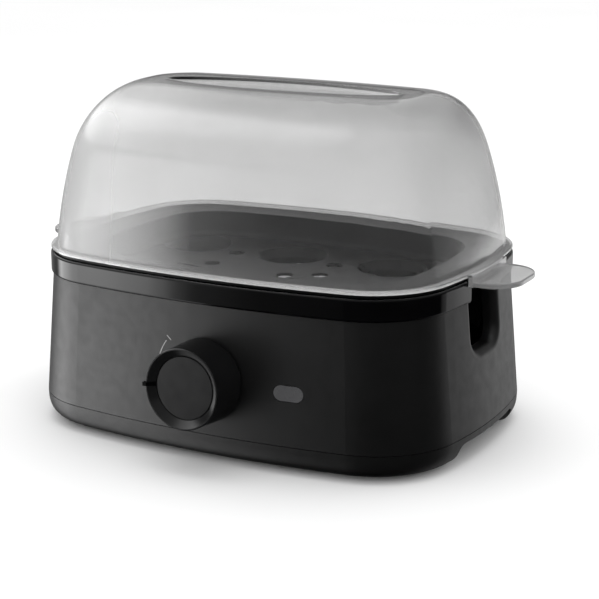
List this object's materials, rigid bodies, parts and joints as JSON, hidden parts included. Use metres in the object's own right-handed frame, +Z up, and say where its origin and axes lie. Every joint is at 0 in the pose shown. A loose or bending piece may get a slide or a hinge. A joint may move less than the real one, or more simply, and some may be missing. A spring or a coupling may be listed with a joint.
{
  "type": "egg cooker",
  "caption": "Electric egg cooker: black oblong base with front timer knob and indicator window, lift-out egg tray and a smoke-grey lid with end tabs.",
  "frame": {"origin": "on the table, under the middle of the object's bounding box", "axes": "+X along the long side towards the indicator window's end, -Y towards the knob and the user, +Z up"},
  "size_m": [0.26, 0.1836, 0.1666],
  "materials": {
    "matte_housing": "fine matte black, moulded",
    "gloss_trim": "high gloss black",
    "knob_plastic": "satin black",
    "tray_plastic": "satin black, heat resistant",
    "lid_clear": "smoke grey frosted, see-through",
    "lens_grey": "smoky light window",
    "plate_metal": "brushed, non-stick grey",
    "spreader_metal": "as cast",
    "element_sheath": "heat-dulled sheath",
    "zinc_steel": "zinc plated",
    "silicone": "red-brown silicone",
    "foot_rubber": "matte black",
    "phenolic": "moulded",
    "fuse_body": "white sleeve",
    "board": "green laminate with components",
    "lamp_epoxy": "milky lamp body",
    "nylon": "natural nylon"
  },
  "bodies": {
    "base": {"outer_shell": "matte_housing", "base_cover": "matte_housing", "upper_housing": "gloss_trim", "heating_plate": "plate_metal", "plate_gasket": "silicone", "heat_spreader": "spreader_metal", "heating_element": "element_sheath", "clamp_bar": "zinc_steel", "clamp_nut": "zinc_steel", "thermostat": "phenolic", "thermal_fuse": "fuse_body", "fuse_clip": "spreader_metal", "control_board": "board", "board_screws": "zinc_steel", "buzzer": "phenolic", "indicator_lamp": "lamp_epoxy", "indicator_lens": "lens_grey", "rotary_switch": "phenolic", "base_screws": "zinc_steel", "housing_screws": "zinc_steel", "rubber_feet": "foot_rubber", "terminal_block": "nylon", "block_screws": "zinc_steel", "cord_grommet": "foot_rubber"},
    "knob": {"knob": "knob_plastic", "knob_cap": "knob_plastic", "knob_pointer": "gloss_trim", "switch_shaft": "nylon"},
    "tray": {"egg_tray": "tray_plastic"},
    "lid": {"lid": "lid_clear"}
  },
  "joints": [
    {"name": "tray_lift", "type": "slide", "parent": "base", "child": "tray", "axis": [0, 0, 1], "range_m": [0, 0.1]},
    {"name": "lid_lift", "type": "slide", "parent": "tray", "child": "lid", "axis": [0, 0, 1], "range_m": [0, 0.15]},
    {"name": "knob_turn", "type": "hinge", "parent": "base", "child": "knob", "pos_m": [0.0032, -0.0698, 0.0403], "axis": [0, -0.9985, 0.0541], "range_deg": [-225, 0]}
  ]
}
